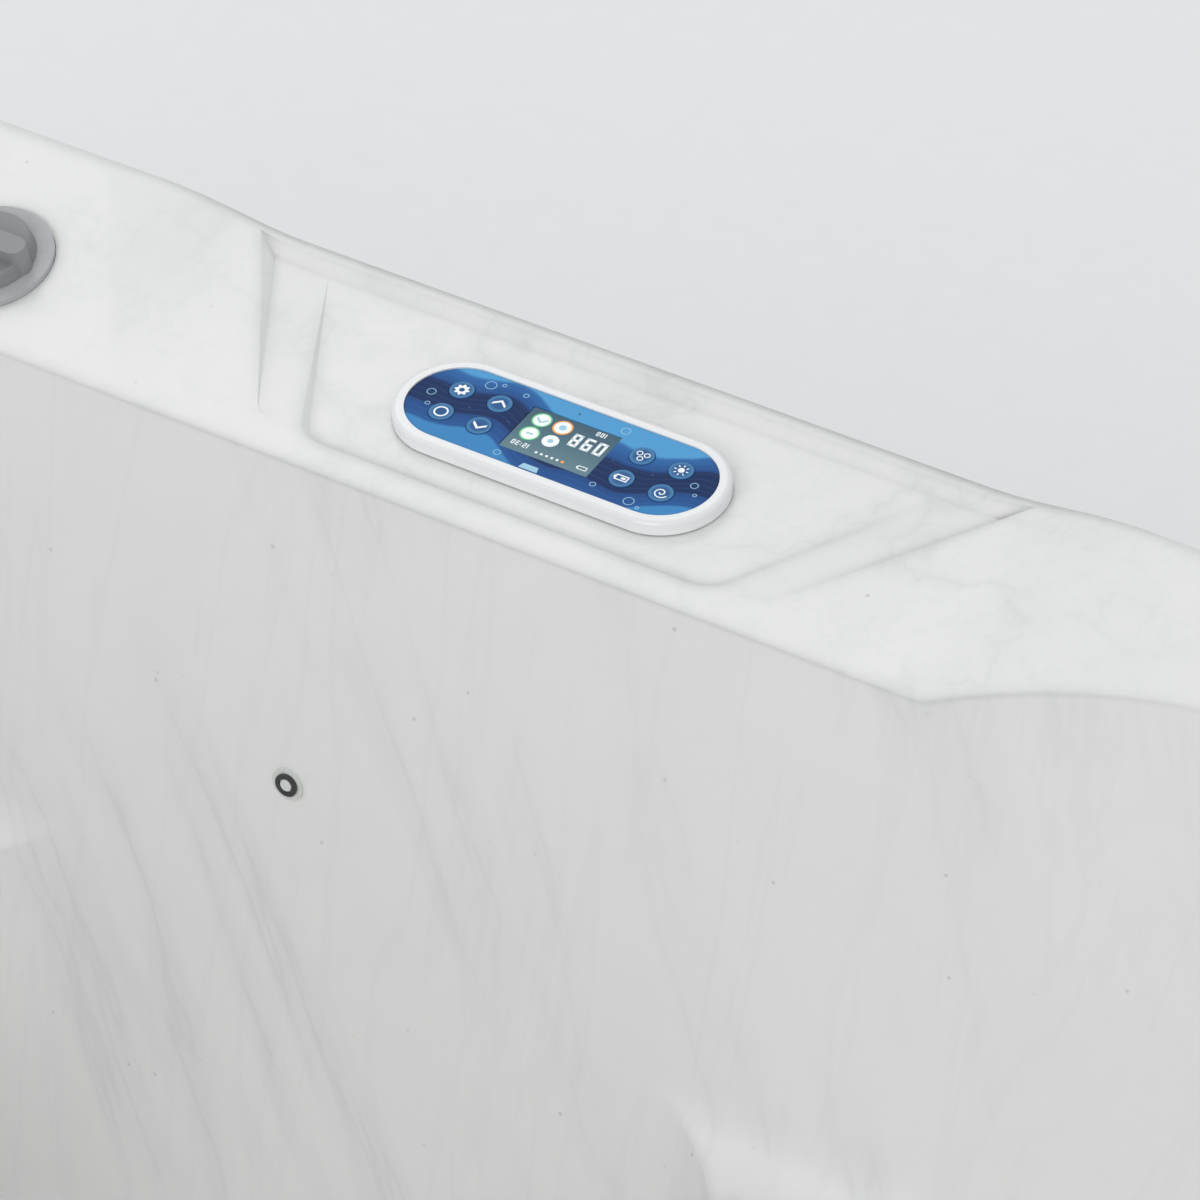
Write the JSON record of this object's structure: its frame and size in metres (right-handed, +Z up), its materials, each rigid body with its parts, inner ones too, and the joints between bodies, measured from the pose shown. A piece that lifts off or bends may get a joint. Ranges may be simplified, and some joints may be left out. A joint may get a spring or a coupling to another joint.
{
  "type": "hot tub",
  "caption": "Square acrylic hot tub with a dished rim, lounger, moulded seats and footwell, a recessed control panel with display and keys, jets, skimmer filter and a plastic cabinet.",
  "frame": {"origin": "on the ground at the centre of the square footprint", "axes": "+Z up, +Y towards the side with the control panel and service panel, +X right when facing out over the control panel"},
  "size_m": [2.1, 2.1, 0.9105],
  "materials": {
    "acrylic_white": "glossy white acrylic with faint grey marbling",
    "black_plastic": "matt",
    "frame_steel": "grey paint",
    "support_foam": "stiff foam block",
    "cabinet_grey": "wood-grained plastic boards",
    "corner_grey": "fine texture",
    "screw_steel": "satin",
    "insulation": "foil-faced foam sheet",
    "panel_white": "glossy",
    "gasket_rubber": "matt",
    "panel_overlay": "printed overlay in blues",
    "circuit_board": "green board",
    "screen_glass": "grey-teal display",
    "key_overlay": "printed keys in blues",
    "lens_pale": "pale clear plastic",
    "ring_dark": "dark ring",
    "pipe_white": "white pipe plastic",
    "control_grey": "satin grey",
    "trim_grey": "satin light grey",
    "filter_fleece": "pleated fleece with blue end caps",
    "lamp_clear": "clear lens",
    "motor_metal": "painted ribbed casing",
    "wet_end_black": "moulded",
    "rotor_steel": "machined",
    "box_grey": "moulded",
    "heater_steel": "drawn tube",
    "hose_clear": "clear flexible hose",
    "headrest_grey": "soft moulded foam skin",
    "cap_grey": "matt",
    "jet_grey": "satin grey with bright rim"
  },
  "bodies": {
    "tub": {"shell": "acrylic_white", "base_pan": "black_plastic", "frame_rails": "frame_steel", "frame_posts": "frame_steel", "footwell_support": "support_foam", "cabinet_left": "cabinet_grey", "cabinet_right": "cabinet_grey", "cabinet_back": "cabinet_grey", "corner_posts": "corner_grey", "cabinet_screws": "screw_steel", "insulation_sheets": "insulation", "panel_bezel": "panel_white", "panel_gasket": "gasket_rubber", "panel_housing": "black_plastic", "panel_face": "panel_overlay", "panel_board": "circuit_board", "panel_screen": "screen_glass", "panel_switches": "black_plastic", "point_light_bodies": "lens_pale", "point_light_rings": "ring_dark", "point_light_lenses": "lens_pale", "rim_valve_bodies": "pipe_white", "rim_valve_plates": "control_grey", "filter_housing": "pipe_white", "mouth_frame": "trim_grey", "filter_cartridge": "filter_fleece", "jet_bodies": "pipe_white", "wall_fittings": "trim_grey", "main_lamp": "lamp_clear", "pump_motor": "motor_metal", "pump_wet_end": "wet_end_black", "control_box": "box_grey", "heater": "heater_steel", "water_pipes": "pipe_white", "jet_hoses": "hose_clear", "headrests": "headrest_grey", "drain_valve": "black_plastic"},
    "key_settings_body": {"key_settings": "key_overlay"},
    "key_light_body": {"key_light": "key_overlay"},
    "key_up_body": {"key_up": "key_overlay"},
    "key_down_body": {"key_down": "key_overlay"},
    "key_jets_body": {"key_jets": "key_overlay"},
    "key_heat_body": {"key_heat": "key_overlay"},
    "key_timer_body": {"key_timer": "key_overlay"},
    "key_air_body": {"key_air": "key_overlay"},
    "diverter_front_body": {"diverter_front": "control_grey"},
    "diverter_right_body": {"diverter_right": "control_grey"},
    "air_knob_left_body": {"air_knob_left": "control_grey"},
    "air_knob_back_body": {"air_knob_back": "control_grey"},
    "filter_lid_body": {"filter_lid": "trim_grey"},
    "weir_door_body": {"weir_door": "trim_grey"},
    "jet_face_1_body": {"jet_face_1": "jet_grey"},
    "jet_face_2_body": {"jet_face_2": "jet_grey"},
    "jet_face_3_body": {"jet_face_3": "jet_grey"},
    "jet_face_4_body": {"jet_face_4": "jet_grey"},
    "jet_face_5_body": {"jet_face_5": "jet_grey"},
    "jet_face_6_body": {"jet_face_6": "jet_grey"},
    "pump_rotor_body": {"pump_rotor": "rotor_steel"},
    "drain_cap_body": {"drain_cap": "cap_grey"},
    "service_panel_body": {"service_panel": "cabinet_grey"}
  },
  "joints": [
    {"name": "key_settings_press", "type": "slide", "parent": "tub", "child": "key_settings_body", "axis": [0, 0.0899, -0.9959], "range_m": [0, 0.0008], "stiffness_N_per_m": 400},
    {"name": "key_light_press", "type": "slide", "parent": "tub", "child": "key_light_body", "axis": [0, 0.0899, -0.9959], "range_m": [0, 0.0008], "stiffness_N_per_m": 400},
    {"name": "key_up_press", "type": "slide", "parent": "tub", "child": "key_up_body", "axis": [0, 0.0899, -0.9959], "range_m": [0, 0.0008], "stiffness_N_per_m": 400},
    {"name": "key_down_press", "type": "slide", "parent": "tub", "child": "key_down_body", "axis": [0, 0.0899, -0.9959], "range_m": [0, 0.0008], "stiffness_N_per_m": 400},
    {"name": "key_jets_press", "type": "slide", "parent": "tub", "child": "key_jets_body", "axis": [0, 0.0899, -0.9959], "range_m": [0, 0.0008], "stiffness_N_per_m": 400},
    {"name": "key_heat_press", "type": "slide", "parent": "tub", "child": "key_heat_body", "axis": [0, 0.0899, -0.9959], "range_m": [0, 0.0008], "stiffness_N_per_m": 400},
    {"name": "key_timer_press", "type": "slide", "parent": "tub", "child": "key_timer_body", "axis": [0, 0.0899, -0.9959], "range_m": [0, 0.0008], "stiffness_N_per_m": 400},
    {"name": "key_air_press", "type": "slide", "parent": "tub", "child": "key_air_body", "axis": [0, 0.0899, -0.9959], "range_m": [0, 0.0008], "stiffness_N_per_m": 400},
    {"name": "diverter_front_turn", "type": "hinge", "parent": "tub", "child": "diverter_front_body", "pos_m": [-0.437, 0.922, 0.883], "axis": [0, -0.2534, 0.9674], "range_deg": [-90, 90]},
    {"name": "diverter_right_turn", "type": "hinge", "parent": "tub", "child": "diverter_right_body", "pos_m": [0.92, 0, 0.87261], "axis": [-0.1044, 0, 0.9945], "range_deg": [-90, 90]},
    {"name": "air_knob_left_turn", "type": "hinge", "parent": "tub", "child": "air_knob_left_body", "pos_m": [-0.92, 0, 0.87261], "axis": [0.1044, 0, 0.9945], "range_deg": [0, 180]},
    {"name": "air_knob_back_turn", "type": "hinge", "parent": "tub", "child": "air_knob_back_body", "pos_m": [0.232, -0.92, 0.87261], "axis": [0, 0.1044, 0.9945], "range_deg": [0, 180]},
    {"name": "filter_lid_lift", "type": "slide", "parent": "tub", "child": "filter_lid_body", "axis": [0, 0.1044, 0.9945], "range_m": [0, 0.25]},
    {"name": "weir_door_turn", "type": "hinge", "parent": "tub", "child": "weir_door_body", "pos_m": [0, -0.884, 0.712], "axis": [1, 0, 0], "range_deg": [0, 75]},
    {"name": "jet_face_1_turn", "type": "hinge", "parent": "tub", "child": "jet_face_1_body", "pos_m": [0.85362, 0.65915, 0.62], "axis": [-0.917, -0.352, 0.1874], "range_deg": [-60, 60]},
    {"name": "jet_face_2_turn", "type": "hinge", "parent": "tub", "child": "jet_face_2_body", "pos_m": [0.65915, 0.85362, 0.62], "axis": [-0.352, -0.917, 0.1874], "range_deg": [-60, 60]},
    {"name": "jet_face_3_turn", "type": "hinge", "parent": "tub", "child": "jet_face_3_body", "pos_m": [0.85362, -0.65915, 0.62], "axis": [-0.917, 0.352, 0.1874], "range_deg": [-60, 60]},
    {"name": "jet_face_4_turn", "type": "hinge", "parent": "tub", "child": "jet_face_4_body", "pos_m": [0.65915, -0.85362, 0.62], "axis": [-0.352, 0.917, 0.1874], "range_deg": [-60, 60]},
    {"name": "jet_face_5_turn", "type": "hinge", "parent": "tub", "child": "jet_face_5_body", "pos_m": [-0.85362, -0.65915, 0.62], "axis": [0.917, 0.352, 0.1874], "range_deg": [-60, 60]},
    {"name": "jet_face_6_turn", "type": "hinge", "parent": "tub", "child": "jet_face_6_body", "pos_m": [-0.65915, -0.85362, 0.62], "axis": [0.352, 0.917, 0.1874], "range_deg": [-60, 60]},
    {"name": "pump_rotor_turn", "type": "hinge", "parent": "tub", "child": "pump_rotor_body", "pos_m": [0.605, 0.84, 0.15], "axis": [1, 0, 0], "continuous": true},
    {"name": "drain_cap_turn", "type": "hinge", "parent": "tub", "child": "drain_cap_body", "pos_m": [-1.03, 0.7, 0.112], "axis": [-1, 0, 0], "range_deg": [0, 180]},
    {"name": "service_panel_pull", "type": "slide", "parent": "tub", "child": "service_panel_body", "axis": [0, 1, 0], "range_m": [0, 0.3]}
  ]
}
